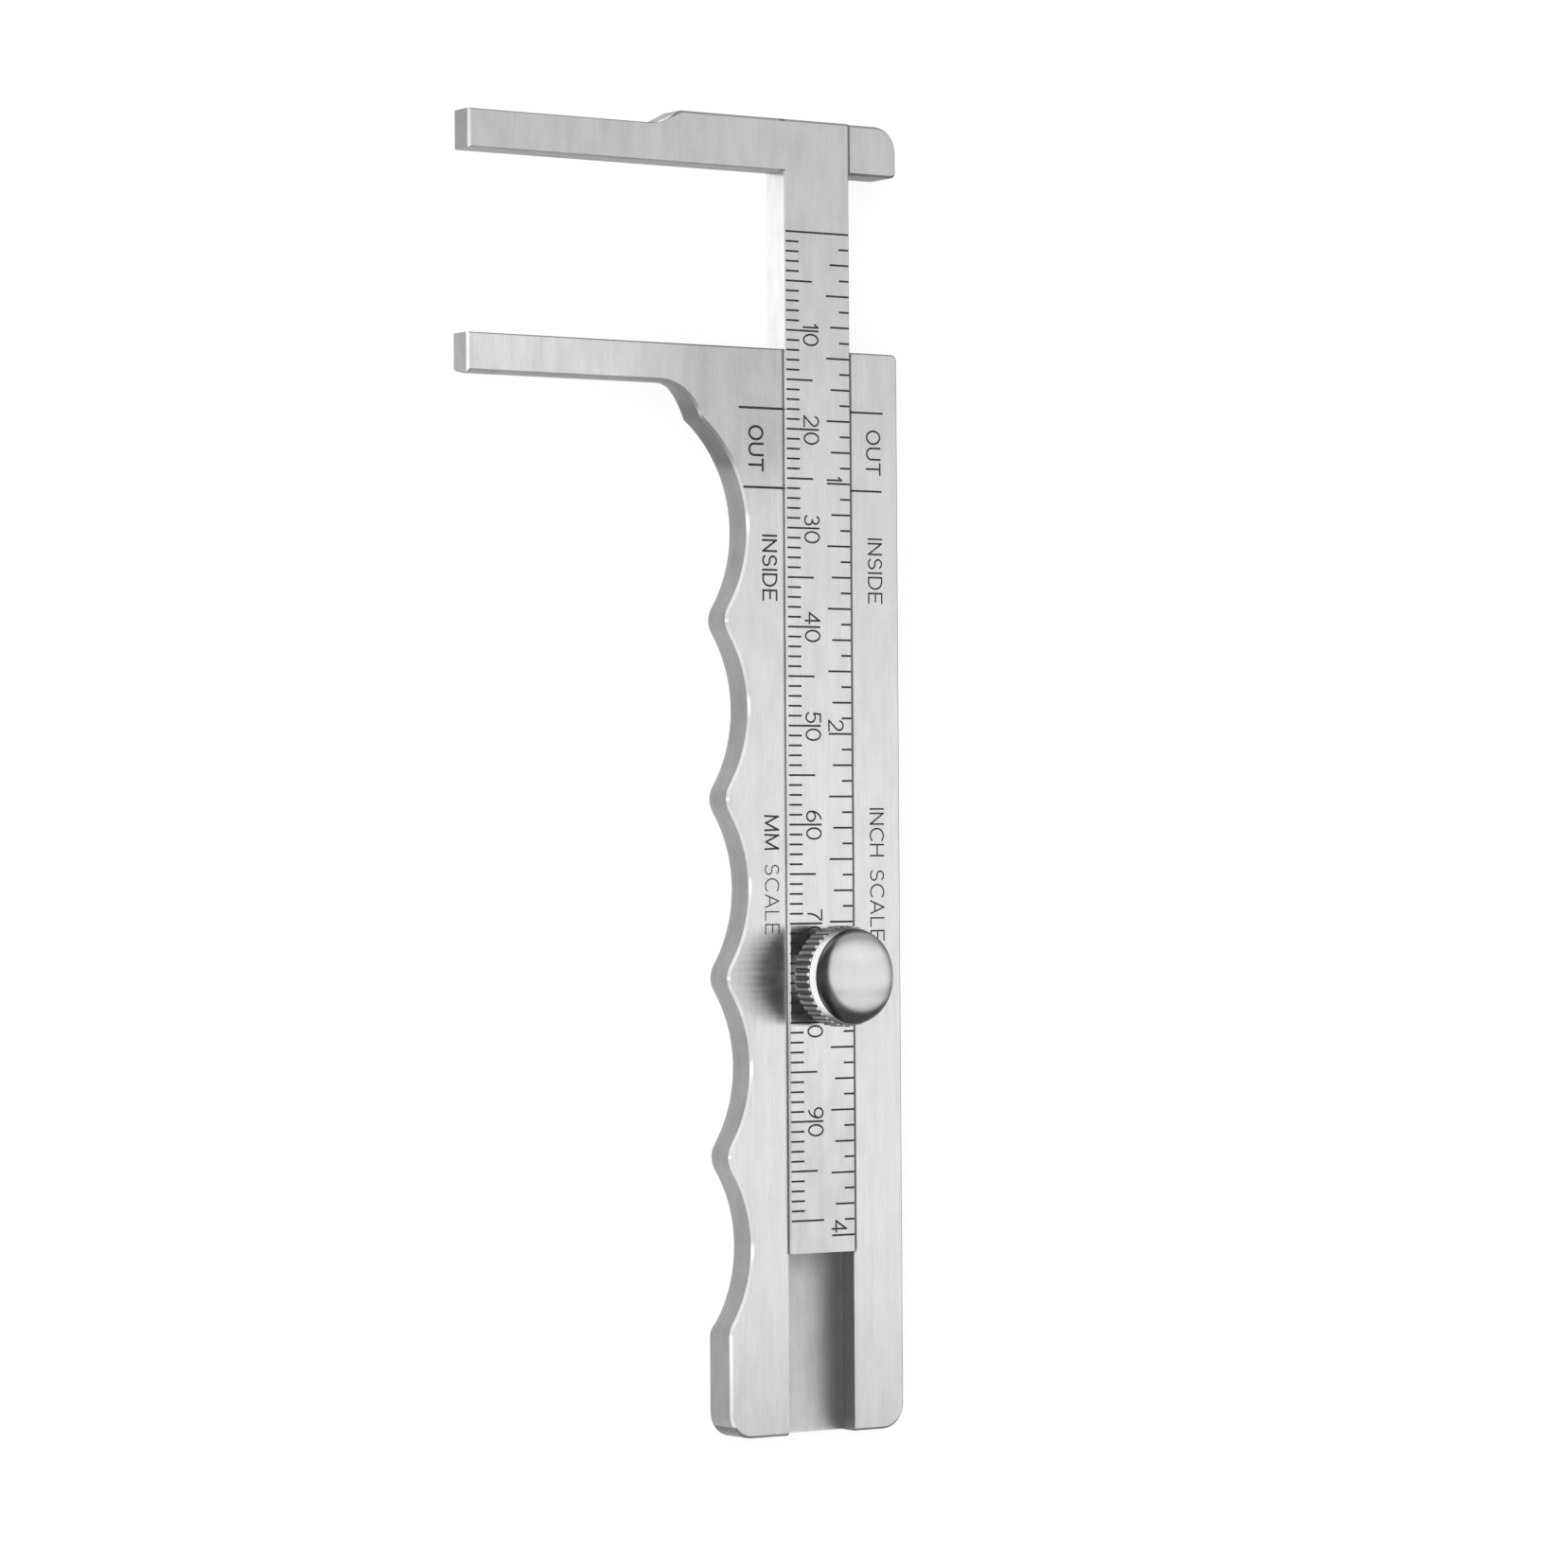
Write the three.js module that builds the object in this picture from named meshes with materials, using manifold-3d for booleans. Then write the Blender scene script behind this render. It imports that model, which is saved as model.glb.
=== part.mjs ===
// Surgical caliper for measuring bone: a handle plate with a fixed jaw and a row of finger scallops,
// and a sliding bar with a moving jaw that runs in the plate's undercut channel and is held by a
// knurled lock screw. Sizes are in millimetres, +Z up, with the engraved side up.

import * as THREE from "three";
import { mergeVertices } from "three/addons/utils/BufferGeometryUtils.js";
import Module from "manifold-3d";

const wasm = await Module();
wasm.setup();

// Handle plate. x is measured from the channel's centre line and y from the fixed jaw's measuring face.
const plateLength = 109.7;
const plateThickness = 4;
const gripSide = 11.1;
const railSide = 10.2;
const footCorner = 2.5;
const railCorner = 0.6;
const frontChamfer = 0.25;
const jawBreak = 0.12;
const backRound = 0.3;
const gripRound = 1;

// Finger grip along the left side
const scallopRadius = 14;
const scallopPitch = 18;
const ridgeRadius = 2.5;
const gripTail = 7;
const firstRidgeDrop = 3.4;
const firstRidgeAngle = THREE.MathUtils.degToRad(52.5);

// Jaws
const jawReach = 41.2;
const jawWidth = 4;
const movingJawWidth = 3.8;
const jawThickness = 3.5;
const jawRootRadius = 5.1;
const jawBackRamp = 5;
const tipRound = 1.2;
const crownRadius = 3;
const crownDepth = 1;

// Undercut channel and the sliding bar in it
const channelDepth = 2.6;
const flankLean = Math.tan(THREE.MathUtils.degToRad(5));
const slideClearance = 0.04;
const slideLift = 0.1;
const slideWidth = 7.92;
const slideProud = 0.45;
const slideLength = 109.4;
const slideEdgeBreak = 0.14;

// Head of the sliding bar, with the shoulder behind its jaw and the stop block on its right
const headHeight = 5.26;
const headReach = 16.4;
const shoulderAngle = THREE.MathUtils.degToRad(26);
const neckRadius = 5;
const blockLift = 0.1;
const blockCorner = 2.5;
const brazeGap = 0.02;
const reliefHeight = 2.3;
const reliefWidth = 0.25;

// Opening of the jaws at rest, and the largest reading
const reading = 18;
const fullReading = 100;

// Stop pin in the channel floor, and the groove for it in the bar's back
const pinRadius = 0.5;
const pinOffset = 2.8;
const pinSetback = 4.1;
const pinStand = 0.75;
const grooveRadius = 0.6;
const grooveDepth = 0.9;

// Lock screw: threaded bush in the bar, stud, knurled knob and swivel pad
const lockSetback = 81.4;
const bushRadius = 2.1;
const bushDepth = 1.5;
const flangeRadius = 3.2;
const flangeHeight = 1.6;
const flangeChamfer = 0.2;
const studRadius = 1.25;
const threadClearance = 0.1;
const fitClearance = 0.02;
const knobLift = 2.35;
const knobRadius = 5.1;
const knurlHeight = 2.5;
const knurlTeeth = 42;
const knurlDepth = 0.25;
const knurlChamfer = 0.15;
const toothFoot = 0.3;
const toothRise = 0.5;
const toothEnd = 0.8;
const ringGap = 0.11;
const ringHeight = 0.84;
const ringInset = 0.15;
const ringTaper = 0.2;
const domeRise = 0.6;
const domeFullness = 0.9;
const neckLength = 0.5;
const knobNeckRadius = 2.5;
const studEngagement = 2.6;
const padRadius = 1.7;
const padPlay = 0.1;
const padHeight = 0.8;
const padRest = 0.22;
const pivotRadius = 0.7;
const pivotLength = 0.35;

// Smoothness of the curves
const scallopSteps = 18;
const cornerSteps = 6;
const roundSides = 48;
const knobSides = 84;
const domeSteps = 10;
const edgeSteps = 6;
const softCorner = THREE.MathUtils.degToRad(30);

// How far a cutting body reaches past the faces that it opens
const overrun = 1;

// Heights worked out from the sizes above
const slideTop = plateThickness + slideProud;
const channelFloor = plateThickness - channelDepth;
const slideBack = channelFloor + slideLift;

const steel = new THREE.MeshStandardMaterial({ color: 0xc8cacb, metalness: 1, roughness: 0.3 });
const polished = new THREE.MeshStandardMaterial({ color: 0xd2d4d5, metalness: 1, roughness: 0.14 });
const brass = new THREE.MeshStandardMaterial({ color: 0xb5924f, metalness: 1, roughness: 0.35 });

// A closed geometry as a solid that can be joined and cut
function solidOf(geometry) {
  const bare = geometry.clone();
  bare.deleteAttribute("normal");
  bare.deleteAttribute("uv");
  const merged = mergeVertices(bare, 1e-5);
  const corners = merged.index.array;
  const kept = [];
  for (let i = 0; i < corners.length; i += 3) {
    const [a, b, c] = [corners[i], corners[i + 1], corners[i + 2]];
    if (a !== b && b !== c && c !== a) kept.push(a, b, c);
  }
  return new wasm.Manifold(new wasm.Mesh({
    numProp: 3,
    vertProperties: merged.attributes.position.array,
    triVerts: new Uint32Array(kept),
  }));
}

function geometryOf(solid) {
  const mesh = solid.getMesh();
  const geometry = new THREE.BufferGeometry();
  geometry.setAttribute("position", new THREE.BufferAttribute(mesh.vertProperties, 3));
  geometry.setIndex(new THREE.BufferAttribute(mesh.triVerts, 1));
  const faceted = geometry.toNonIndexed();
  faceted.computeVertexNormals();
  return faceted;
}

function part(name, solid, material) {
  const mesh = new THREE.Mesh(geometryOf(solid), material);
  mesh.name = name;
  return mesh;
}

// A cylinder about Z between two heights
function rod(radius, low, high, x = 0, y = 0) {
  const geometry = new THREE.CylinderGeometry(radius, radius, high - low, roundSides);
  geometry.rotateX(Math.PI / 2);
  geometry.translate(x, y, (low + high) / 2);
  return solidOf(geometry);
}

// A solid turned about Z from a profile of [radius, height] pairs
function turned(profile, sides = roundSides) {
  const geometry = new THREE.LatheGeometry(profile.map(([r, z]) => new THREE.Vector2(r, z)), sides);
  geometry.rotateX(Math.PI / 2);
  return solidOf(geometry);
}

// A section in x and z, run along y
function barAlongY(section, start, end) {
  const shape = new THREE.Shape(section.map(([x, z]) => new THREE.Vector2(x, z)));
  const geometry = new THREE.ExtrudeGeometry(shape, { depth: end - start, bevelEnabled: false });
  geometry.rotateX(Math.PI / 2);
  geometry.translate(0, end, 0);
  return solidOf(geometry);
}

// Points along an arc; each point carries the profile of the edge that runs on from it
function arc(cx, cy, radius, from, to, steps, edge) {
  const points = [];
  for (let i = 0; i <= steps; i++) {
    const angle = from + ((to - from) * i) / steps;
    const x = cx + radius * Math.cos(angle);
    const y = cy + radius * Math.sin(angle);
    points.push({ x, y, edge: edge(x, y) });
  }
  return points;
}

// An edge profile says how far the side lies inside the outline at a depth below the face.
// This one has a front chamfer and a rounded back, on a plate of the given thickness.
function broken(front, back, thickness) {
  return (depth) => {
    const past = Math.min(depth, thickness) - (thickness - back);
    const rounded = past > 0 ? back - Math.sqrt(Math.max(0, back ** 2 - past ** 2)) : 0;
    return Math.max(0, front - depth) + rounded;
  };
}

// The rounded outer side of the fixed jaw
function crowned(depth) {
  const across = Math.min(depth, jawThickness) - crownDepth;
  const crown = crownRadius - Math.sqrt(crownRadius ** 2 - across ** 2);
  return Math.max(0, frontChamfer - depth) + crown;
}

function blend(first, second, share) {
  return (depth) => (1 - share) * first(depth) + share * second(depth);
}

// Depths that follow the chamfer, the crown and the rounded back
function edgeDepths(thickness) {
  const roundStart = jawThickness - tipRound;
  const depths = [0, jawBreak, frontChamfer, crownDepth];
  for (let i = 0; i <= edgeSteps; i++) {
    depths.push(roundStart + (thickness - roundStart) * Math.sin((i * Math.PI) / 2 / edgeSteps));
  }
  return depths;
}

// The outline moved inward at one depth: a soft corner follows the mean normal, a sharp one is mitred
function insetRing(outline, depth) {
  const softest = Math.cos(softCorner);
  const edges = outline.map((point, i) => {
    const next = outline[(i + 1) % outline.length];
    const length = Math.hypot(next.x - point.x, next.y - point.y);
    const inward = { x: -(next.y - point.y) / length, y: (next.x - point.x) / length };
    return { inward, inset: point.edge(depth) };
  });
  return outline.map((point, i) => {
    const after = edges[i];
    const before = edges[(i + edges.length - 1) % edges.length];
    const along = before.inward.x * after.inward.x + before.inward.y * after.inward.y;
    if (along > softest) {
      const mean = (before.inset + after.inset) / 2 / (1 + along);
      const x = point.x + mean * (before.inward.x + after.inward.x);
      const y = point.y + mean * (before.inward.y + after.inward.y);
      return new THREE.Vector2(x, y);
    }
    const cross = before.inward.x * after.inward.y - before.inward.y * after.inward.x;
    const x = (before.inset * after.inward.y - after.inset * before.inward.y) / cross;
    const y = (after.inset * before.inward.x - before.inset * after.inward.x) / cross;
    return new THREE.Vector2(point.x + x, point.y + y);
  });
}

// A plate whose edge follows its profiles from the top face down to the bottom face
function edgedPlate(outline, top, thickness) {
  const depths = edgeDepths(thickness);
  const rings = depths.map((depth) => insetRing(outline, depth));
  const count = outline.length;
  const positions = rings.flatMap((ring, k) => ring.flatMap((p) => [p.x, p.y, top - depths[k]]));
  const index = [];
  for (let k = 0; k + 1 < rings.length; k++) {
    for (let i = 0; i < count; i++) {
      const j = (i + 1) % count;
      const upper = k * count;
      const lower = upper + count;
      index.push(lower + i, lower + j, upper + j, lower + i, upper + j, upper + i);
    }
  }
  const last = (rings.length - 1) * count;
  for (const [a, b, c] of THREE.ShapeUtils.triangulateShape(rings[0], [])) index.push(a, b, c);
  for (const [a, b, c] of THREE.ShapeUtils.triangulateShape(rings[rings.length - 1], [])) {
    index.push(last + a, last + c, last + b);
  }
  const geometry = new THREE.BufferGeometry();
  geometry.setAttribute("position", new THREE.Float32BufferAttribute(positions, 3));
  geometry.setIndex(index);
  return solidOf(geometry);
}

// The bar's section in x and z; its flanks lean so that it is widest at the bottom
function flankAt(z) {
  return slideWidth / 2 + (slideTop - z) * flankLean;
}

function undercut(low, high, room) {
  return [
    [-flankAt(low) - room, low],
    [flankAt(low) + room, low],
    [flankAt(high) + room, high],
    [-flankAt(high) - room, high],
  ];
}

// Handle plate: foot, straight rail, fixed jaw, and the scallops that follow one another down the grip
function handleOutline() {
  const ridgeTurn = Math.asin(scallopPitch / 2 / (scallopRadius + ridgeRadius));
  const ridgeX = -gripSide + ridgeRadius;
  const scallopX = ridgeX - (scallopRadius + ridgeRadius) * Math.cos(ridgeTurn);
  const firstRidgeY = -jawWidth - firstRidgeDrop;
  const firstScallopY = firstRidgeY - scallopRadius * Math.sin(firstRidgeAngle);
  const firstRidgeX = scallopX + scallopRadius * Math.cos(firstRidgeAngle);
  const scallops = Math.floor((plateLength - gripTail + firstScallopY) / scallopPitch + 0.5);
  const rootY = -jawWidth - jawRootRadius;
  const rootX = firstRidgeX - Math.sqrt(jawRootRadius ** 2 - (firstRidgeY - rootY) ** 2);
  const rootEnd = Math.atan2(firstRidgeY - rootY, firstRidgeX - rootX);
  const quarter = Math.PI / 2;
  const footLeft = -gripSide + footCorner;
  const footRight = railSide - footCorner;
  const railTop = railSide - railCorner;
  const footY = -plateLength + footCorner;
  const plain = broken(frontChamfer, backRound, plateThickness);
  const grip = broken(frontChamfer, gripRound, plateThickness);
  const tailY = firstScallopY - (scallops - 0.5) * scallopPitch;
  const plainEdge = () => plain;
  const rootEdge = (x) => blend(crowned, grip, THREE.MathUtils.smoothstep(x, rootX, firstRidgeX));
  const gripEdge = (x, y) => blend(plain, grip, THREE.MathUtils.smoothstep(y, tailY, tailY + ridgeRadius));
  const outline = [
    ...arc(footLeft, footY, footCorner, 2 * quarter, 3 * quarter, cornerSteps, plainEdge),
    ...arc(footRight, footY, footCorner, -quarter, 0, cornerSteps, plainEdge),
    ...arc(railTop, -railCorner, railCorner, 0, quarter, cornerSteps / 2, plainEdge).slice(0, -1),
    { x: railTop, y: 0, edge: broken(jawBreak, backRound, plateThickness) },
    { x: -jawReach, y: 0, edge: broken(frontChamfer, tipRound, jawThickness) },
    { x: -jawReach, y: -jawWidth, edge: crowned },
    ...arc(rootX, rootY, jawRootRadius, quarter, rootEnd, 2 * cornerSteps, rootEdge).slice(0, -1),
  ];
  for (let i = 0; i < scallops; i++) {
    const y = firstScallopY - i * scallopPitch;
    const ridgeY = y - scallopPitch / 2;
    const from = i === 0 ? firstRidgeAngle : ridgeTurn;
    const last = i === scallops - 1;
    const to = Math.PI + (last ? 0 : ridgeTurn);
    const ridge = arc(ridgeX, ridgeY, ridgeRadius, Math.PI - ridgeTurn, to, cornerSteps, gripEdge);
    outline.push(...arc(scallopX, y, scallopRadius, from, -ridgeTurn, scallopSteps, gripEdge));
    outline.push(...ridge.slice(1, last ? undefined : -1));
  }
  return { outline, rootX };
}

function handlePlate() {
  const { outline, rootX } = handleOutline();
  const plate = edgedPlate(outline, plateThickness, plateThickness);
  const channelSection = undercut(channelFloor, slideTop, slideClearance);
  const channel = barAlongY(channelSection, -plateLength - overrun, overrun);
  const relief = plateThickness - jawThickness;
  const underJaw = barAlongY([
    [-jawReach - overrun, -overrun],
    [rootX + jawBackRamp, -overrun],
    [rootX + jawBackRamp, 0],
    [rootX, relief],
    [-jawReach - overrun, relief],
  ], -jawWidth - 2 * jawRootRadius, overrun);
  const pinHole = rod(pinRadius + fitClearance, -overrun, slideTop, pinOffset, -pinSetback);
  return plate.subtract(channel).subtract(underJaw).subtract(pinHole);
}

function stopPin() {
  return rod(pinRadius, 0, channelFloor + pinStand, pinOffset, -pinSetback);
}

// Sliding bar, with y measured from the moving jaw's measuring face
function slideOutline() {
  const rise = headHeight - movingJawWidth;
  const slope = (rise - neckRadius * (1 - Math.cos(shoulderAngle))) / Math.tan(shoulderAngle);
  const neckX = -headReach - slope - neckRadius * Math.sin(shoulderAngle);
  const quarter = Math.PI / 2;
  const fine = broken(jawBreak, backRound, jawThickness);
  const plain = broken(frontChamfer, backRound, jawThickness);
  const neckEdge = (x) => blend(fine, plain, THREE.MathUtils.smoothstep(x, neckX, -headReach));
  const neckY = movingJawWidth + neckRadius;
  const pastFlank = flankAt(0) + overrun;
  return [
    { x: -jawReach, y: 0, edge: fine },
    { x: pastFlank, y: 0, edge: plain },
    { x: pastFlank, y: headHeight, edge: plain },
    { x: -headReach, y: headHeight, edge: neckEdge(-headReach) },
    ...arc(neckX, neckY, neckRadius, shoulderAngle - quarter, -quarter, cornerSteps, neckEdge),
    { x: -jawReach, y: movingJawWidth, edge: broken(frontChamfer, tipRound, jawThickness) },
  ];
}

function slideBar() {
  const [low, high] = [-overrun, slideTop + overrun];
  const leftOfFlank = barAlongY([
    [-jawReach - overrun, low],
    [flankAt(low), low],
    [flankAt(high), high],
    [-jawReach - overrun, high],
  ], -overrun, headHeight + overrun);
  const head = edgedPlate(slideOutline(), slideTop, jawThickness).intersect(leftOfFlank);
  const bar = barAlongY([
    [-flankAt(slideBack), slideBack],
    [flankAt(slideBack), slideBack],
    [flankAt(slideTop - slideEdgeBreak), slideTop - slideEdgeBreak],
    [slideWidth / 2 - slideEdgeBreak, slideTop],
    [-slideWidth / 2 + slideEdgeBreak, slideTop],
    [-flankAt(slideTop - slideEdgeBreak), slideTop - slideEdgeBreak],
  ], -slideLength, movingJawWidth);
  const groove = new THREE.Shape();
  const grooveTop = -pinSetback;
  const grooveFoot = -pinSetback - fullReading;
  groove.absarc(pinOffset, grooveTop, grooveRadius, 0, Math.PI);
  groove.absarc(pinOffset, grooveFoot, grooveRadius, Math.PI, 2 * Math.PI);
  const cut = new THREE.ExtrudeGeometry(groove, { depth: 2 * grooveDepth, bevelEnabled: false });
  cut.translate(0, 0, slideBack - grooveDepth);
  const bushSeat = slideTop - bushDepth;
  const bushHole = rod(bushRadius + fitClearance, bushSeat, high, 0, -lockSetback);
  const padPocket = rod(padRadius + padPlay, low, bushSeat + fitClearance, 0, -lockSetback);
  return head.add(bar).subtract(solidOf(cut)).subtract(bushHole).subtract(padPocket);
}

// Stop block: brazed to the bar's right flank, it lands on the rail when the jaws meet
function stopBlock() {
  const quarter = Math.PI / 2;
  const plain = broken(frontChamfer, backRound, plateThickness);
  const plainEdge = () => plain;
  const footX = railSide - railCorner;
  const footY = blockLift + railCorner;
  const crestX = railSide - blockCorner;
  const crestY = headHeight - blockCorner;
  const block = edgedPlate([
    { x: 0, y: blockLift, edge: plain },
    ...arc(footX, footY, railCorner, -quarter, 0, cornerSteps / 2, plainEdge),
    ...arc(crestX, crestY, blockCorner, 0, quarter, cornerSteps, plainEdge),
    { x: 0, y: headHeight, edge: plain },
  ], plateThickness, plateThickness);
  const seat = barAlongY(undercut(-overrun, slideTop, brazeGap), -overrun, headHeight + overrun);
  const slot = undercut(-overrun, slideTop, reliefWidth);
  const relief = barAlongY(slot, -overrun, blockLift + reliefHeight);
  return block.subtract(seat).subtract(relief);
}

// Lock screw pieces, turned about their own axis, with z from the bar's top face
function threadBush() {
  const bore = studRadius + threadClearance;
  return turned([
    [bore, -bushDepth],
    [bushRadius, -bushDepth],
    [bushRadius, 0],
    [flangeRadius, 0],
    [flangeRadius, flangeHeight - flangeChamfer],
    [flangeRadius - flangeChamfer, flangeHeight],
    [bore, flangeHeight],
    [bore, -bushDepth],
  ]);
}

const padTop = channelFloor + padRest + padHeight - slideTop;
const studTop = knobLift + studEngagement;

function lockStud() {
  return turned([
    [0, padTop - pivotLength],
    [pivotRadius, padTop - pivotLength],
    [pivotRadius, padTop + fitClearance],
    [studRadius, padTop + fitClearance],
    [studRadius, studTop],
    [0, studTop],
  ]);
}

function lockPad() {
  const recess = pivotLength + padPlay;
  return turned([
    [0, padTop - padHeight],
    [padRadius, padTop - padHeight],
    [padRadius, padTop],
    [pivotRadius + padPlay, padTop],
    [pivotRadius + padPlay, padTop - recess],
    [0, padTop - recess],
  ]);
}

// Knob: a turned head with a domed, polished end over a band of straight knurling
function lockKnob() {
  const knurlTop = knobLift + knurlHeight;
  const ringBase = knurlTop + ringGap;
  const ringRadius = knobRadius - ringInset;
  const domeRadius = ringRadius - ringTaper;
  const domeBase = ringBase + ringHeight;
  const dome = [];
  for (let i = 0; i <= domeSteps; i++) {
    const angle = (Math.PI / 2) * (i / domeSteps);
    const spread = i === domeSteps ? 0 : Math.cos(angle) ** domeFullness;
    dome.push([domeRadius * spread, domeBase + domeRise * Math.sin(angle)]);
  }
  const core = knobRadius - knurlDepth - knurlChamfer;
  const head = turned([
    [0, studTop + fitClearance],
    [studRadius + fitClearance, studTop + fitClearance],
    [studRadius + fitClearance, knobLift - neckLength],
    [knobNeckRadius, knobLift - neckLength],
    [knobNeckRadius, knobLift],
    [core, knobLift],
    [core, ringBase],
    [ringRadius, ringBase],
    ...dome,
  ], knobSides);
  return head.add(knurlBand(knobLift, knurlTop));
}

function knurlBand(low, high) {
  const root = knobRadius - knurlDepth;
  const pitch = (2 * Math.PI) / knurlTeeth;
  const tooth = [[root, 0], [root, toothFoot], [knobRadius, toothRise], [knobRadius, toothEnd]];
  const corners = [];
  for (let i = 0; i < knurlTeeth; i++) {
    for (const [radius, share] of tooth) {
      const angle = (i + share) * pitch;
      corners.push(new THREE.Vector2(radius * Math.cos(angle), radius * Math.sin(angle)));
    }
  }
  const teeth = new THREE.Shape(corners);
  const hole = new THREE.Path();
  hole.absarc(0, 0, knobNeckRadius, 0, 2 * Math.PI, true);
  teeth.holes.push(hole);
  const band = new THREE.ExtrudeGeometry(teeth, { depth: high - low, bevelEnabled: false });
  band.translate(0, 0, low);
  const trimmed = turned([
    [0, low],
    [knobRadius - knurlChamfer, low],
    [knobRadius, low + knurlChamfer],
    [knobRadius, high - knurlChamfer],
    [knobRadius - knurlChamfer, high],
    [0, high],
  ], knobSides);
  return solidOf(band).intersect(trimmed);
}

// Assembly: everything that slides is one group, moved up by the reading
const caliper = new THREE.Group();
caliper.add(part("handle_plate", handlePlate(), steel));
caliper.add(part("stop_pin", stopPin(), steel));

const slide = new THREE.Group();
slide.position.y = reading;
slide.add(part("slide_bar", slideBar(), steel));
slide.add(part("stop_block", stopBlock(), steel));

const lock = new THREE.Group();
lock.position.set(0, -lockSetback, slideTop);
lock.add(part("thread_bush", threadBush(), steel));
lock.add(part("lock_pad", lockPad(), brass));
lock.add(part("lock_stud", lockStud(), steel));
lock.add(part("lock_knob", lockKnob(), polished));
slide.add(lock);
caliper.add(slide);

// The origin lies under the middle of the whole caliper, on the face that it lies on
const middleX = (railSide - jawReach) / 2;
const middleY = (reading + headHeight - plateLength) / 2;
caliper.position.set(-middleX, -middleY, 0);

const model = new THREE.Group();
model.add(caliper);

export default model;
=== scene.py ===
import math

import bmesh
import bpy
from mathutils import Matrix, Vector


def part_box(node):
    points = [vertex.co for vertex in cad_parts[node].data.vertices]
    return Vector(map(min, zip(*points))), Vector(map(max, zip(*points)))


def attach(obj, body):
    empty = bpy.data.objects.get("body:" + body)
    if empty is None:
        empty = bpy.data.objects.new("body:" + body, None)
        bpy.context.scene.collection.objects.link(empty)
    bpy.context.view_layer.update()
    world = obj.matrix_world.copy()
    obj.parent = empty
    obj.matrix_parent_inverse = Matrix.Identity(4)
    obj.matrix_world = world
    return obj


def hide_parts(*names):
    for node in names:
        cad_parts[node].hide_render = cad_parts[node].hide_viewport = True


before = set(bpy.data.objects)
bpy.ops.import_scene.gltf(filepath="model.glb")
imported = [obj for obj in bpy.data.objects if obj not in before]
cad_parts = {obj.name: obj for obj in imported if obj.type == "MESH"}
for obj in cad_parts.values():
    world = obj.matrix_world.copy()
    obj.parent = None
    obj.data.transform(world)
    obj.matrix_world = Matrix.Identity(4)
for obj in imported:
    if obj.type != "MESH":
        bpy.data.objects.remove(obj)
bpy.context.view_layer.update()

MM = 0.001
INCH = 25.4
SMOOTH_ANGLE = math.radians(28)
WELD_DISTANCE = 0.0005 * MM

# Places on the caliper, in millimetres, read from the frame where it carries them
READING = 18.0
FULL_SCALE_MM = 100
FULL_SCALE_INCH = 4
handle_low, handle_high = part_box("handle_plate")
slide_low, slide_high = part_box("slide_bar")
knob_low, knob_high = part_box("lock_knob")
HANDLE_FACE = handle_high.z / MM
HANDLE_END = handle_low.y / MM
SLIDE_FACE = slide_high.z / MM
SLIDE_END = slide_low.y / MM
FIXED_JAW = handle_high.y / MM
MIDDLE_LINE = (knob_low.x + knob_high.x) / 2 / MM
KNOB_Y = (knob_low.y + knob_high.y) / 2 / MM
KNURL_TOP = knob_high.z / MM - 1.55
DOME_BASE = knob_high.z / MM - 0.6
BAR_LEFT = MIDDLE_LINE - 3.96
BAR_RIGHT = MIDDLE_LINE + 3.96
ZERO_LINE = 55.12
OUT_INDEX = ZERO_LINE - READING
INSIDE_INDEX = OUT_INDEX - 8.0

# Limits of areas with a look of their own, most of them painted light or shade, in millimetres, each as
# (where it is 0, where it is 1)
BAR_SPAN = (4.6, 4.4)
CHANNEL_SPAN = (5.6, 5.4)
CHANNEL_WALL_FOOT = (1.4, 1.6)
CHANNEL_FLOOR_TOP = (2.2, 1.8)
FOOT_TOP = (0.21, 0.13)
FOOT_BOTTOM = (-0.35, -0.2)
FOOT_START = (0.1, -0.1)
DEPTH_TOP = (-0.1, -0.4)
DEPTH_START = (0, -14)
FLANK_END = (-12, -32)
DARKER_END = (-22, -42)
LEFT_BREAK = (-3.78, -3.84)
RIGHT_BREAK = (3.8, 3.84)
RIGHT_BREAK_FOOT = (-0.2, -0.15)
SHOULDER_START = (58, 60)
JAW_ALONG = (34, 38)
JAW_ACROSS = (1, -14)
ROOT_ALONG = (26, 34)
ROOT_LEFT = (-3.5, 3.5)
ROOT_RIGHT = (11.7, 11.4)
JAWS_START = (30, 32)
HOOK_START = (19.4, 19.6)
END_DEPTH = (1.4, 1.0)
DOME_FOOT_LOW = (-0.03, 0)
DOME_FOOT_HIGH = (0.13, 0.07)
DOME_START = (0, 0.1)
DOME_FAR_HALF = (0.4, 3.2)
DOME_NEAR_HALF = (1.05, 3.0)
DOME_RIM_START = (-0.03, 0.03)
DOME_RIM_REACH = (3.83, 4.67)
KNURL_START = (0, -0.15)
KNURL_DEPTH = (5.0, 4.88)
RING_START = (0.02, 0.08)
RING_END = (0.02, -0.04)

# The point that DOME_RIM_REACH is measured from, and the soft spokes of painted shade under the knob
DOME_RIM_MIDDLE = (MIDDLE_LINE + 0.76, KNOB_Y + 0.66)
SPOKES = 16

# Reach of the shade in close corners and on the channel's floor, in millimetres
CORNER_REACH = 0.52
CHANNEL_REACH = 12

# The steel's grain: frequencies, the stretch along the grain, and the depth of its relief in metres
FINE_GRAIN = 9000
BROAD_GRAIN = 1500
GRAIN_STRETCH = 40
CLOUDS = 620
CLOUD_STRETCH = (1, 0.4, 1)
POLISH_SPREAD = 0.05
GRAIN_RELIEF = 0.000004

# The camera, fitted to the engraved scales
IMAGE_SIDE = 1657
CAMERA_PLACE = (-313.06, -9.04, 479.25)
CAMERA_TURN = math.radians(34.3134)
CAMERA_TILT = math.radians(-0.8232)
CAMERA_ROLL = math.radians(-0.3707)
FOCAL_PIXELS = 6024.75
SENSOR = 36.0


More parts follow.
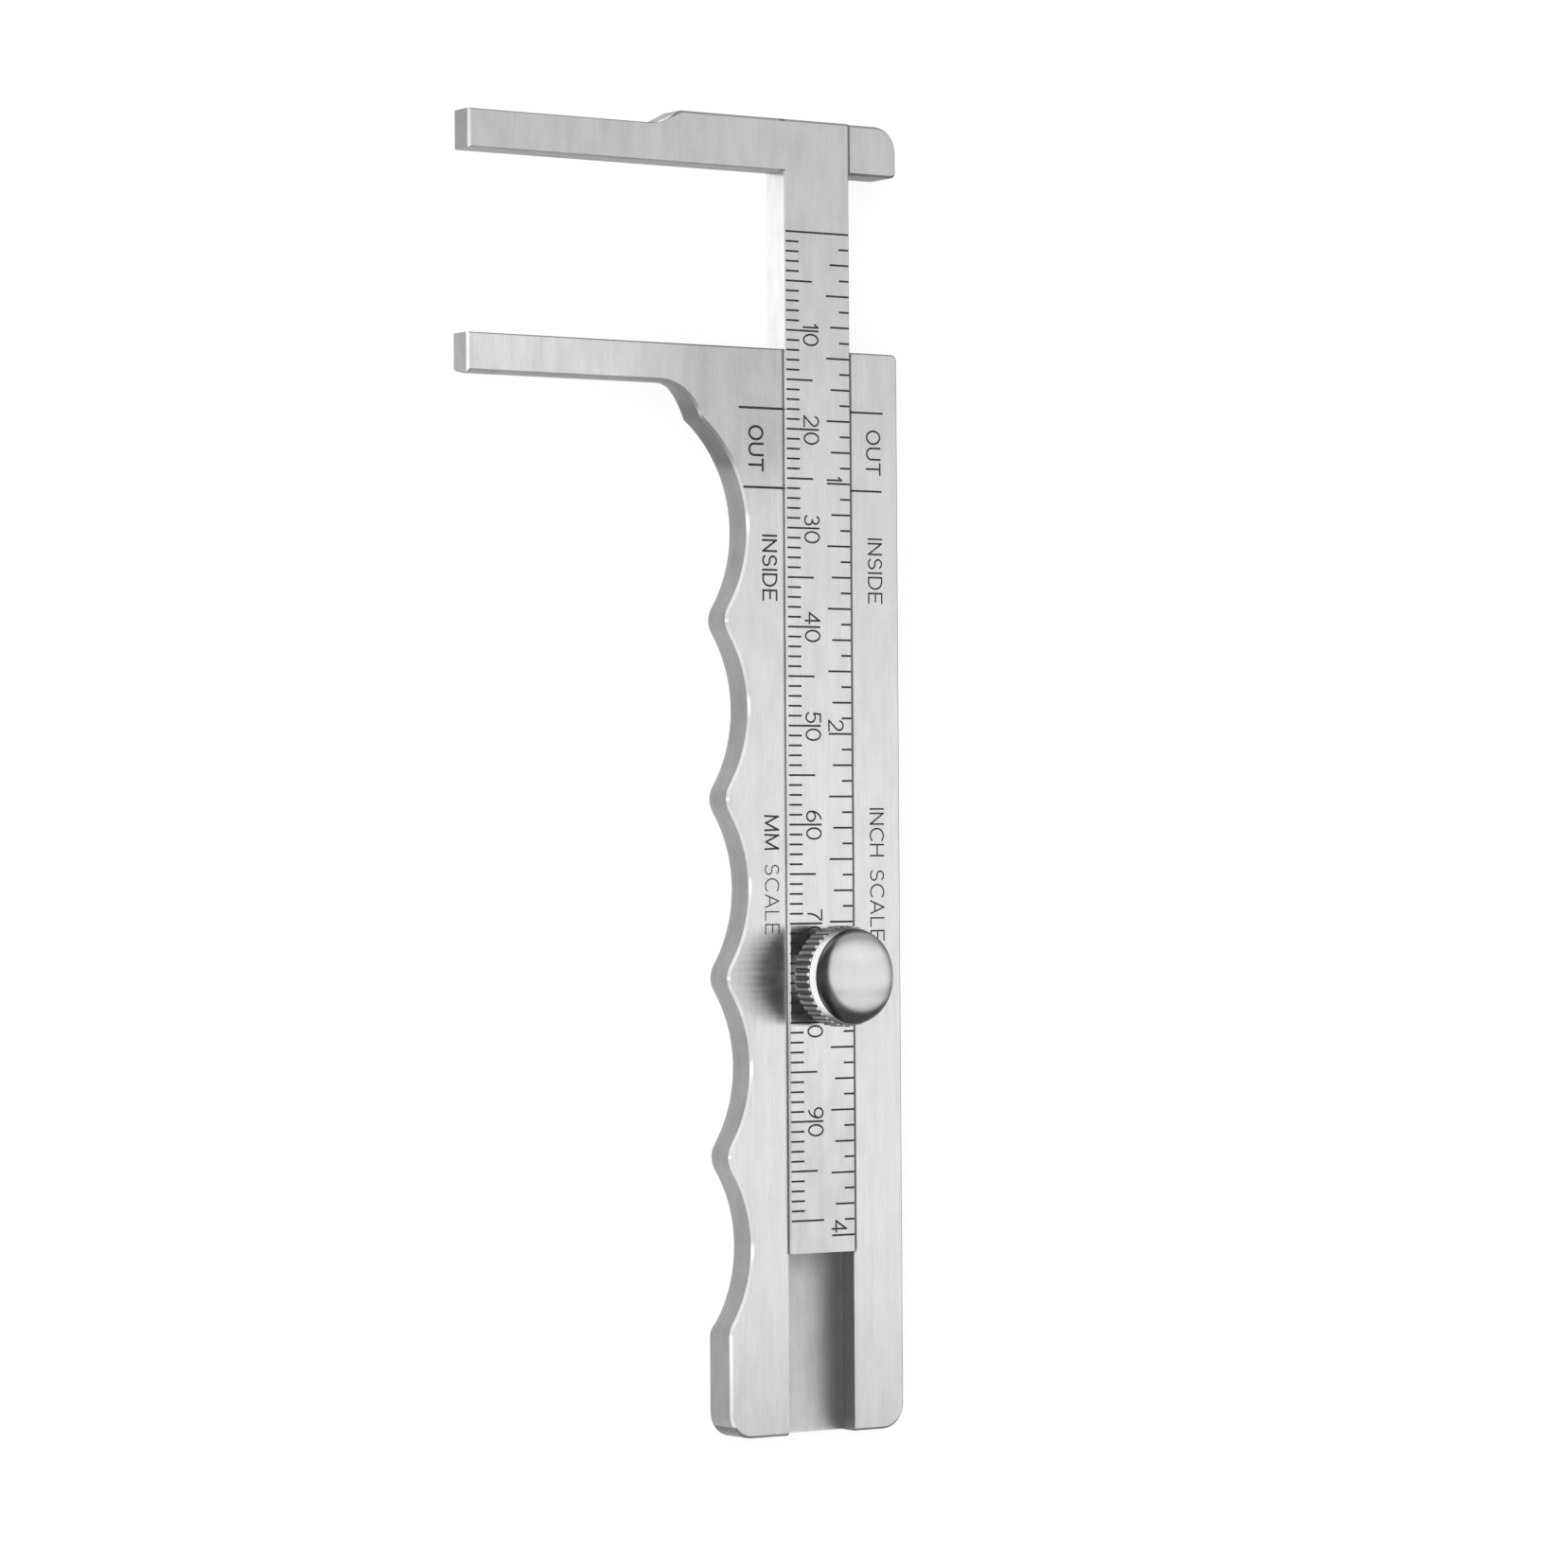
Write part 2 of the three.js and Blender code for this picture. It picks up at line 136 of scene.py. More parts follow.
class Nodes:
    """Builds the nodes of one node tree in short calls."""

    def __init__(self, tree):
        self.tree = tree
        tree.nodes.clear()

    def add(self, kind, inputs=(), **settings):
        node = self.tree.nodes.new(kind)
        for name, value in settings.items():
            setattr(node, name, value)
        for name, value in dict(inputs).items():
            self.feed(node.inputs[name], value)
        return node

    def feed(self, socket, value):
        if isinstance(value, bpy.types.NodeSocket):
            self.tree.links.new(value, socket)
        else:
            socket.default_value = value

    def math(self, operation, *values):
        node = self.add("ShaderNodeMath", operation=operation)
        for socket, value in zip(node.inputs, values):
            self.feed(socket, value)
        return node.outputs[0]

    def ramp(self, value, low, high, to_low=0.0, to_high=1.0):
        """A smooth step of value: to_low up to low, to_high from high on."""
        node = self.add(
            "ShaderNodeMapRange",
            {"Value": value, "From Min": low, "From Max": high, "To Min": to_low, "To Max": to_high},
            interpolation_type="SMOOTHSTEP",
        )
        return node.outputs["Result"]

    def area(self, value, limits, origin=0.0):
        """A smooth step from 0 at the first limit to 1 at the second, in millimetres from origin."""
        return self.ramp(value, (origin + limits[0]) * MM, (origin + limits[1]) * MM)

    def product(self, first, *others):
        for other in others:
            first = self.math("MULTIPLY", first, other)
        return first

    def direction(self, x, y, z):
        return self.add("ShaderNodeCombineXYZ", {"X": x, "Y": y, "Z": z}).outputs[0]

    def mix(self, share, first, second):
        """first where share is 0, second where it is 1."""
        node = self.add("ShaderNodeMix", data_type="FLOAT")
        self.feed(node.inputs[0], share)
        self.feed(node.inputs[2], first)
        self.feed(node.inputs[3], second)
        return node.outputs[0]

    def noise(self, place, scale, stretch=(1, 1, 1), detail=2.0):
        stretched = self.add("ShaderNodeVectorMath", operation="MULTIPLY")
        self.feed(stretched.inputs[0], place)
        self.feed(stretched.inputs[1], stretch)
        node = self.add(
            "ShaderNodeTexNoise",
            {"Vector": stretched.outputs[0], "Scale": scale, "Detail": detail},
        )
        return node.outputs["Fac"]


def off_middle(nodes, place):
    """The distance to the right of the bar's middle line."""
    return nodes.math("SUBTRACT", place[0], MIDDLE_LINE * MM)


def near_middle(nodes, place, span):
    """1 within a span to either side of the bar's middle line."""
    return nodes.area(nodes.math("ABSOLUTE", off_middle(nodes, place)), span)


def distance_from(nodes, place, x, y):
    """The distance in plan from the point x, y in mm."""
    across = nodes.math("SUBTRACT", place[0], x * MM)
    along = nodes.math("SUBTRACT", place[1], y * MM)
    squares = nodes.math("MULTIPLY_ADD", across, across, nodes.math("MULTIPLY", along, along))
    return nodes.math("SQRT", squares)


def occlusion(nodes, facing, distance):
    """How open a point is to the side that facing looks to: 1 in the open, 0 when closed in."""
    around = nodes.add(
        "ShaderNodeAmbientOcclusion", {"Distance": distance * MM, "Normal": facing}, samples=12
    )
    return around.outputs["AO"]


# Masks: each gives 1 on its own part of a surface and 0 elsewhere; most mark where light or shade is
# painted
def side_faces(nodes, place, normal):
    """1 on faces that stand upright, 0 on the front and the back; their regions make these faces rougher
    and paint shade on them.
    """
    return nodes.ramp(nodes.math("ABSOLUTE", normal[2]), 0.6, 0.4)


def bar_flanks(nodes, place, normal):
    """1 on the bar's two long flanks; as a region of its own it paints a strong highlight on them."""
    near = near_middle(nodes, place, BAR_SPAN)
    return nodes.product(near, nodes.ramp(nodes.math("ABSOLUTE", normal[0]), 0.5, 0.7))


def flank_foot(nodes, place, normal):
    """1 on a line along the bar's flanks, level with the handle's face: a painted shadow line, which
    moves with the bar.
    """
    low = nodes.product(
        nodes.area(place[2], FOOT_TOP, HANDLE_FACE), nodes.area(place[2], FOOT_BOTTOM, HANDLE_FACE)
    )
    beside = nodes.area(place[1], FOOT_START, FIXED_JAW)
    return nodes.product(low, beside, bar_flanks(nodes, place, normal))


def flank_depth(nodes, place, normal):
    """1 on the lower part of the flanks that lies inside the channel at rest, where shade is painted."""
    low = nodes.area(place[2], DEPTH_TOP, HANDLE_FACE)
    beside = nodes.area(place[1], DEPTH_START, FIXED_JAW)
    return nodes.product(low, beside, bar_flanks(nodes, place, normal))


def flank_end(nodes, place, normal):
    """1 on the flanks towards the bar's end, where painted shade dims their painted highlight."""
    return nodes.product(bar_flanks(nodes, place, normal), nodes.area(place[1], FLANK_END))


def bar_end(nodes, place, normal):
    """1 on the last stretch of the bar, which is drawn a little darker."""
    return nodes.area(place[1], DARKER_END)


def left_edge(nodes, place, normal):
    """1 on the break along the bar's upper left edge, where a line of shade is painted."""
    near = nodes.area(off_middle(nodes, place), LEFT_BREAK)
    slanting = nodes.product(nodes.ramp(normal[2], 0.12, 0.3), nodes.ramp(normal[2], 0.99, 0.93))
    return nodes.product(near, near_middle(nodes, place, BAR_SPAN), slanting)


def right_edge(nodes, place, normal):
    """1 on the bar's upper right edge, where a line of shade is painted."""
    near = nodes.area(off_middle(nodes, place), RIGHT_BREAK)
    high = nodes.area(place[2], RIGHT_BREAK_FOOT, SLIDE_FACE)
    return nodes.product(near, near_middle(nodes, place, BAR_SPAN), high)


def far_edges(nodes, place, normal):
    """1 on edges that look to the right or towards the jaws' end; their regions paint shade on them."""
    along = nodes.product(nodes.ramp(normal[1], 0.15, 0.4), nodes.ramp(normal[0], -0.35, -0.2))
    return nodes.math("MAXIMUM", along, nodes.ramp(normal[0], 0.15, 0.4))


def shoulder(nodes, place, normal):
    """1 on the upper edge of the slope that leads from the moving jaw to the head; its region paints a
    highlight there.
    """
    return nodes.product(
        nodes.ramp(normal[1], 0.3, 0.5),
        nodes.ramp(normal[0], -0.12, -0.25),
        nodes.ramp(normal[2], 0.2, 0.4),
        nodes.area(place[1], SHOULDER_START),
    )


def fixed_jaw(nodes, place, normal):
    """1 on the fixed jaw, fading towards its root; its region paints light on the jaw."""
    return nodes.product(nodes.area(place[1], JAW_ALONG), nodes.area(place[0], JAW_ACROSS))


def jaw_root(nodes, place, normal):
    """1 on the plate between the fixed jaw and the bar; its region paints shade there."""
    across = nodes.product(nodes.area(place[0], ROOT_LEFT), nodes.area(place[0], ROOT_RIGHT))
    return nodes.product(across, nodes.area(place[1], ROOT_ALONG))


def undersides(nodes, place, normal):
    """1 on the sides of the jaws and the hook that look towards the grip; their regions make them rougher
    and paint shade on them.
    """
    return nodes.product(nodes.ramp(normal[1], -0.2, -0.5), nodes.area(place[1], JAWS_START))


def hook_underside(nodes, place, normal):
    """1 on the stop block's side that looks towards the grip; its region makes it rougher and paints more
    shade on it.
    """
    return nodes.product(undersides(nodes, place, normal), nodes.area(place[0], HOOK_START))


def end_edge(low):
    """A mask that is 1 on the end at low, in mm along Y; its regions paint shade on the end."""
    def mask(nodes, place, normal):
        return nodes.product(nodes.ramp(normal[1], -0.15, -0.4), nodes.area(place[1], END_DEPTH, low))
    return mask


def close_corners(nodes, place, normal):
    """1 on front faces close to the right of something that stands over them; its region paints shade
    there, from the occlusion.
    """
    dark = nodes.ramp(occlusion(nodes, nodes.direction(-0.7, 0.0, 0.7), CORNER_REACH), 0.82, 0.6)
    return nodes.product(dark, nodes.ramp(normal[2], 0.6, 0.8))


def channel_floor(nodes, place, normal):
    """1 on the floor of the channel; as a region of its own it paints the floor lighter."""
    inside = near_middle(nodes, place, BAR_SPAN)
    low = nodes.area(place[2], CHANNEL_FLOOR_TOP)
    return nodes.product(inside, low, nodes.ramp(normal[2], 0.5, 0.7))


def channel_shade(nodes, place, normal):
    """1 on the channel's floor in the lee of its right wall."""
    dark = nodes.ramp(occlusion(nodes, nodes.direction(0.82, 0.0, 0.57), CHANNEL_REACH), 0.8, 0.12)
    return nodes.product(dark, channel_floor(nodes, place, normal))


def channel_walls(nodes, place, normal):
    """1 on the channel's leaning walls, where shade is painted."""
    inside = near_middle(nodes, place, CHANNEL_SPAN)
    deep = nodes.area(place[2], CHANNEL_WALL_FOOT)
    return nodes.product(inside, deep, nodes.ramp(nodes.math("ABSOLUTE", normal[0]), 0.4, 0.6))


def dome_foot(nodes, place, normal):
    """1 on the thin line where the knob's dome meets its ring, where a line of shade is painted."""
    low = nodes.area(place[2], DOME_FOOT_LOW, DOME_BASE)
    return nodes.product(low, nodes.area(place[2], DOME_FOOT_HIGH, DOME_BASE))


def dome_half(side):
    """A mask that is 1 on the part of the knob's dome that lies to one side (1 or -1) along Y, where
    light is painted.
    """
    def mask(nodes, place, normal):
        along = nodes.math("MULTIPLY", nodes.math("SUBTRACT", place[1], KNOB_Y * MM), side)
        reach = DOME_FAR_HALF if side > 0 else DOME_NEAR_HALF
        return nodes.product(nodes.area(along, reach), nodes.area(place[2], DOME_START, DOME_BASE))
    return mask


def dome_rim(nodes, place, normal):
    """1 on the rim of the knob's dome, from its left side round to the side of the grip's end, where a
    dark reflection is painted.
    """
    rim = nodes.area(distance_from(nodes, place, *DOME_RIM_MIDDLE), DOME_RIM_REACH)
    return nodes.product(rim, nodes.area(place[2], DOME_RIM_START, DOME_BASE))


def knurling(nodes, place, normal):
    """1 on the knob below its plain ring; its region makes the knurling rougher and paints shade on it.
    """
    return nodes.area(place[2], KNURL_START, KNURL_TOP)


def knurl_grooves(nodes, place, normal):
    """1 at the bottom of the knob's knurling, 0 at its crests; its region paints shade into the grooves.
    """
    inner = nodes.area(distance_from(nodes, place, MIDDLE_LINE, KNOB_Y), KNURL_DEPTH)
    return nodes.product(inner, knurling(nodes, place, normal))


def knob_ring(nodes, place, normal):
    """1 on the plain ring between the knurling and the dome, where a highlight is painted."""
    above = nodes.area(place[2], RING_START, KNURL_TOP)
    return nodes.product(above, nodes.area(place[2], RING_END, DOME_BASE))


def knob_base(nodes, place, normal):
    """1 on the knob's underside; its region makes it rough and paints light on it."""
    return nodes.ramp(normal[2], -0.3, -0.6)


def knob_spokes(nodes, place, normal):
    """1 on a ring of soft spokes on the knob's underside; its region paints them in shade, between the
    underside's painted light.
    """
    along = nodes.math("SUBTRACT", place[1], KNOB_Y * MM)
    turn = nodes.math("ARCTAN2", along, off_middle(nodes, place))
    spokes = nodes.ramp(nodes.math("SINE", nodes.product(turn, SPOKES)), -0.3, 0.5)
    return nodes.product(spokes, knob_base(nodes, place, normal))


def steel(
    name, colour, roughness, anisotropy, streak=0.045, mottle=0.06, regions=(), grain_axis="Y"
):
    """Brushed steel: fine streaks along the grain, with clouds of a slightly different polish.

    Each region is (mask, colour factor, roughness) and gives a part of the surface its own look; most of
    the colour factors paint light or shade there."""
    material = bpy.data.materials.new(name)
    material.use_nodes = True
    nodes = Nodes(material.node_tree)
    coordinates = nodes.add("ShaderNodeTexCoord").outputs
    place = coordinates["Object"]
    along = 1 / GRAIN_STRETCH
    stretch = {"Y": (1, along, 1), "Z": (1, 1, along)}[grain_axis]
    fine = nodes.noise(place, FINE_GRAIN, stretch, 3.0)
    broad = nodes.noise(place, BROAD_GRAIN, stretch, 2.0)
    cloud = nodes.noise(place, CLOUDS, CLOUD_STRETCH, 4.0)
    grain = nodes.math("ADD", nodes.product(fine, 0.6), nodes.product(broad, 0.4))
    tone = nodes.product(
        nodes.ramp(grain, 0.3, 0.7, 1 - streak, 1 + streak),
        nodes.ramp(cloud, 0.3, 0.7, 1 - mottle, 1 + mottle),
    )
    polish = nodes.ramp(
        cloud, 0.3, 0.7, roughness * (1 - POLISH_SPREAD), roughness * (1 + POLISH_SPREAD)
    )
    if regions:
        axes = nodes.add("ShaderNodeSeparateXYZ", {"Vector": place}).outputs
        normal = nodes.add("ShaderNodeSeparateXYZ", {"Vector": coordinates["Normal"]}).outputs
        for mask_of, factor, region_roughness in regions:
            mask = mask_of(nodes, axes, normal)
            tone = nodes.product(tone, nodes.ramp(mask, 0, 1, 1, factor))
            polish = nodes.mix(mask, polish, region_roughness)
    tint = nodes.add("ShaderNodeVectorMath", operation="SCALE")
    tint.inputs[0].default_value = colour
    nodes.feed(tint.inputs["Scale"], tone)
    bump = nodes.add("ShaderNodeBump", {"Strength": 0.25, "Distance": GRAIN_RELIEF, "Height": grain})
    tangent = nodes.direction(*{"Y": (0.98, 0, 0.2), "Z": (0.98, 0.2, 0)}[grain_axis])
    shader = nodes.add(
        "ShaderNodeBsdfPrincipled",
        {
            "Base Color": tint.outputs[0],
            "Metallic": 1.0,
            "Roughness": polish,
            "Anisotropic": anisotropy,
            "Tangent": tangent,
            "Normal": bump.outputs[0],
        },
    )
    output = nodes.add("ShaderNodeOutputMaterial")
    nodes.feed(output.inputs["Surface"], shader.outputs[0])
    return material


def engraving_material():
    """The dark filling of an engraved line."""
    material = bpy.data.materials.new("engraved_line")
    material.use_nodes = True
    nodes = Nodes(material.node_tree)
    place = nodes.add("ShaderNodeTexCoord").outputs["Object"]
    worn = nodes.noise(place, 2500, (1, 1, 1), 3.0)
    tone = nodes.ramp(worn, 0.25, 0.75, 0.03, 0.09)
    colour = nodes.direction(tone, tone, tone)
    shader = nodes.add(
        "ShaderNodeBsdfPrincipled", {"Base Color": colour, "Metallic": 0.3, "Roughness": 0.6}
    )
    output = nodes.add("ShaderNodeOutputMaterial")
    nodes.feed(output.inputs["Surface"], shader.outputs[0])
    return material


# Letters and numbers as single strokes in a box one unit high: (points, closed)
def bow(centre, radii, start, end, steps=10):
    """Points on a part of an ellipse, by angles in degrees."""
    points = []
    for step in range(steps + 1):
        angle = math.radians(start + (end - start) * step / steps)
        points.append((centre[0] + radii[0] * math.cos(angle), centre[1] + radii[1] * math.sin(angle)))
    return points


def oval(width):
    return (bow((width / 2, 0.5), (width / 2, 0.5), 0, 360, 28)[:-1], True)


def line(x0, y0, x1, y1):
    return ([(x0, y0), (x1, y1)], False)


GLYPHS = {
    "A": (0.72, [line(0, 0, 0.36, 1), line(0.36, 1, 0.72, 0), line(0.12, 0.32, 0.6, 0.32)]),
    "C": (0.68, [(bow((0.42, 0.5), (0.42, 0.5), 50, 310, 20), False)]),
    "D": (0.66, [line(0, 0, 0, 1), ([(0.03, 1), (0.26, 1)] + bow((0.26, 0.5), (0.4, 0.5), 80, -80, 14)
                                     + [(0.26, 0), (0.03, 0)], False)]),
    "E": (0.54, [line(0, 0, 0, 1), line(0.03, 1, 0.54, 1), line(0.03, 0.52, 0.46, 0.52),
                 line(0.03, 0, 0.54, 0)]),
    "H": (0.64, [line(0, 0, 0, 1), line(0.64, 0, 0.64, 1), line(0.03, 0.52, 0.61, 0.52)]),
    "I": (0.0, [line(0, 0, 0, 1)]),
    "L": (0.48, [line(0, 0, 0, 1), line(0.03, 0, 0.48, 0)]),
    "M": (0.84, [line(0, 0, 0.04, 1), line(0.04, 0.97, 0.42, 0.06), line(0.42, 0.06, 0.8, 0.97),
                 line(0.8, 1, 0.84, 0)]),
    "N": (0.62, [line(0, 0, 0, 1), line(0.02, 0.97, 0.6, 0.03), line(0.62, 0, 0.62, 1)]),
    "O": (0.76, [oval(0.76)]),
    "S": (0.56, [(bow((0.29, 0.74), (0.25, 0.26), 30, 270, 12)
                  + bow((0.28, 0.25), (0.28, 0.25), 78, -150, 12), False)]),
    "T": (0.62, [line(0, 1, 0.62, 1), line(0.31, 0, 0.31, 0.97)]),
    "U": (0.66, [([(0, 1)] + bow((0.33, 0.34), (0.33, 0.34), 180, 360, 14) + [(0.66, 1)], False)]),
    "0": (0.62, [oval(0.62)]),
    "1": (0.16, [line(0.16, 0, 0.16, 1), line(0, 0.8, 0.14, 0.97)]),
    "2": (0.56, [(bow((0.28, 0.72), (0.27, 0.28), 165, -40, 12) + [(0.03, 0.05)], False),
                 line(0, 0, 0.58, 0)]),
    "3": (0.54, [(bow((0.27, 0.76), (0.22, 0.24), 150, -90, 12), False),
                 (bow((0.27, 0.26), (0.27, 0.26), 90, -150, 14), False)]),
    "4": (0.62, [line(0.46, 0, 0.46, 1), line(0.44, 0.95, 0.02, 0.31), line(0, 0.28, 0.62, 0.28)]),
    "5": (0.54, [line(0.08, 1, 0.5, 1), line(0.07, 0.96, 0.03, 0.55),
                 (bow((0.25, 0.32), (0.29, 0.32), 128, -150, 14), False)]),
    "6": (0.56, [(bow((0.28, 0.3), (0.28, 0.3), 0, 360, 20)[:-1], True),
                 (bow((0.5, 0.33), (0.5, 0.67), 100, 176, 8), False)]),
    "7": (0.56, [line(0, 1, 0.56, 1), (bow((0.85, 0.05), (0.65, 0.95), 117, 180, 8), False)]),
    "8": (0.54, [(bow((0.27, 0.76), (0.22, 0.24), 0, 360, 18)[:-1], True),
                 (bow((0.27, 0.26), (0.27, 0.26), 0, 360, 20)[:-1], True)]),
    "9": (0.56, [(bow((0.28, 0.7), (0.28, 0.3), 0, 360, 20)[:-1], True),
                 (bow((0.06, 0.67), (0.5, 0.67), -80, -4, 8), False)]),
}

# Spacing of letters in letter heights; widths and depths of engraved lines in millimetres
LETTER_GAP = 0.26
LINE_WIDTH = 0.2
LETTER_WIDTH = 0.19
LEFT_INDEX_WIDTH = 0.24
GROOVE_DEPTH = 0.06
GROOVE_LIFT = 0.03
GROOVE_FLOOR = 0.45


def word_strokes(text, height, width_scale=1.0):
    """Strokes of a word in its own plane, reading along +u, with v up, and the word's length."""
    strokes = []
    cursor = 0.0
    for letter in text:
        width, parts = GLYPHS[letter]
        for points, closed in parts:
            placed = [(cursor + u * height * width_scale, v * height) for u, v in points]
            strokes.append((placed, closed))
        cursor += (width + LETTER_GAP) * height * width_scale
    return strokes, cursor - LETTER_GAP * height * width_scale


def down_the_bar(strokes, base, start):
    """Turns a word a quarter clockwise: it reads towards -Y, and its letters' tops point to +X."""
    return [([(base + v, start - u) for u, v in points], closed) for points, closed in strokes]


def word(text, base, start, height, length=None):
    strokes, natural = word_strokes(text, height)
    if length:
        strokes, natural = word_strokes(text, height, length / natural)
    return down_the_bar(strokes, base, start)


def groove(bm, points, closed, face, width):
    """A closed body that cuts one engraved stroke: tapered sides and square ends."""
    count = len(points)
    places = [Vector(p) for p in points]
    corners = []
    for i, place in enumerate(places):
        before = places[i - 1] if closed or i > 0 else None
        after = places[(i + 1) % count] if closed or i < count - 1 else None
        ways = []
        if before is not None:
            ways.append((place - before).normalized())
        if after is not None:
            ways.append((after - place).normalized())
        normals = [Vector((-way.y, way.x)) for way in ways]
        side = sum(normals, Vector((0, 0)))
        side = side / max(side.length_squared / len(normals), 0.5)
        if before is None:
            place = place - ways[0] * width / 2
        if after is None:
            place = place + ways[0] * width / 2
        corners.append((place, side))
    rings = []
    for place, side in corners:
        half = [(1, GROOVE_LIFT), (1, 0), (GROOVE_FLOOR, -GROOVE_DEPTH)]
        ring = [(place + side * width / 2 * share, height) for share, height in half]
        ring += [(place - side * width / 2 * share, height) for share, height in reversed(half)]
        rings.append([bm.verts.new((p.x * MM, p.y * MM, (face + h) * MM)) for p, h in ring])
    pairs = list(zip(rings, rings[1:]))
    if closed:
        pairs.append((rings[-1], rings[0]))
    for one, two in pairs:
        for k in range(len(one)):
            bm.faces.new((one[k], one[(k + 1) % len(one)], two[(k + 1) % len(one)], two[k]))
    if not closed:
        bm.faces.new(rings[0])
        bm.faces.new(list(reversed(rings[-1])))


def cutter(name, strokes, material):
    bm = bmesh.new()
    for (points, closed), face, width in strokes:
        groove(bm, points, closed, face, width)
    bmesh.ops.recalc_face_normals(bm, faces=bm.faces)
    mesh = bpy.data.meshes.new(name)
    bm.to_mesh(mesh)
    bm.free()
    mesh.materials.append(material)
    body = bpy.data.objects.new(name, mesh)
    bpy.context.scene.collection.objects.link(body)
    return body


def layers(strokes):
    """Splits strokes so that no two in a layer touch: a stroke goes to the first layer it is clear of."""
    found = []
    for stroke in strokes:
        points = stroke[0][0]
        low = [min(p[i] for p in points) - LINE_WIDTH for i in (0, 1)]
        high = [max(p[i] for p in points) + LINE_WIDTH for i in (0, 1)]
        for layer in found:
            if all(any(high[i] < other[0][i] or low[i] > other[1][i] for i in (0, 1))
                   for other, _ in layer):
                layer.append(((low, high), stroke))
                break
        else:
            found.append([((low, high), stroke)])
    return [[stroke for _, stroke in layer] for layer in found]


def welded_copy(node, name, material):
    """A copy of a CAD node with its facets joined to one skin."""
    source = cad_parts[node]
    bm = bmesh.new()
    bm.from_mesh(source.data)
    bmesh.ops.remove_doubles(bm, verts=bm.verts, dist=WELD_DISTANCE)
    mesh = bpy.data.meshes.new(name)
    bm.to_mesh(mesh)
    bm.free()
    mesh.materials.clear()
    mesh.materials.append(material)
    body = bpy.data.objects.new(name, mesh)
    bpy.context.scene.collection.objects.link(body)
    return body


def engrave(body, groups, material):
    """Cuts groups of strokes, each given as (strokes, face height, width), into body."""
    strokes = [(stroke, face, width) for group, face, width in groups for stroke in group]
    cutters = []
    for layer in layers(strokes):
        tool = cutter(f"{body.name}_cut_{len(cutters)}", layer, material)
        cutters.append(tool)
        cut = body.modifiers.new(tool.name, "BOOLEAN")
        cut.operation = "DIFFERENCE"
        cut.solver = "MANIFOLD"
        cut.object = tool
        cut.material_mode = "TRANSFER"
    graph = bpy.context.evaluated_depsgraph_get()
    result = bpy.data.meshes.new_from_object(body.evaluated_get(graph))
    body.modifiers.clear()
    body.data = result
    for tool in cutters:
        bpy.data.meshes.remove(tool.data)


def shade_by_angle(mesh):
    """Marks edges sharper than SMOOTH_ANGLE as sharp and smooths the rest."""
    bm = bmesh.new()
    bm.from_mesh(mesh)
    for face in bm.faces:
        face.smooth = True
    for edge in bm.edges:
        edge.smooth = len(edge.link_faces) == 2 and edge.calc_face_angle(math.pi) < SMOOTH_ANGLE
    bm.to_mesh(mesh)
    bm.free()


def weigh_normals(body):
    weigh = body.modifiers.new("weigh_normals", "WEIGHTED_NORMAL")
    weigh.keep_sharp = True


def smooth_group():
    """Geometry nodes that join a node's facets and shade them by the angle between them."""
    group = bpy.data.node_groups.new("join_and_smooth", "GeometryNodeTree")
    group.interface.new_socket("Geometry", in_out="INPUT", socket_type="NodeSocketGeometry")
    group.interface.new_socket("Geometry", in_out="OUTPUT", socket_type="NodeSocketGeometry")
    nodes = Nodes(group)
    source = nodes.add("NodeGroupInput")
    joined = nodes.add(
        "GeometryNodeMergeByDistance", {"Geometry": source.outputs[0], "Distance": WELD_DISTANCE}
    )
    smooth = nodes.add(
        "GeometryNodeSetShadeSmooth",
        {"Geometry": joined.outputs[0], "Shade Smooth": True},
        domain="FACE",
    )
    angle = nodes.add("GeometryNodeInputMeshEdgeAngle")
    gentle = nodes.math("LESS_THAN", angle.outputs["Unsigned Angle"], SMOOTH_ANGLE)
    edges = nodes.add(
        "GeometryNodeSetShadeSmooth",
        {"Geometry": smooth.outputs[0], "Shade Smooth": gentle},
        domain="EDGE",
    )
    target = nodes.add("NodeGroupOutput")
    nodes.feed(target.inputs[0], edges.outputs[0])
    return group


def finish_node(node, material, group):
    """Gives a CAD node its finish and smooth shading; its mesh stays as it is."""
    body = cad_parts[node]
    mesh = body.data
    if "custom_normal" in mesh.attributes:
        mesh.attributes.remove(mesh.attributes["custom_normal"])
    mesh.materials.clear()
    mesh.materials.append(material)
    joined = body.modifiers.new("join_and_smooth", "NODES")
    joined.node_group = group
    weigh_normals(body)


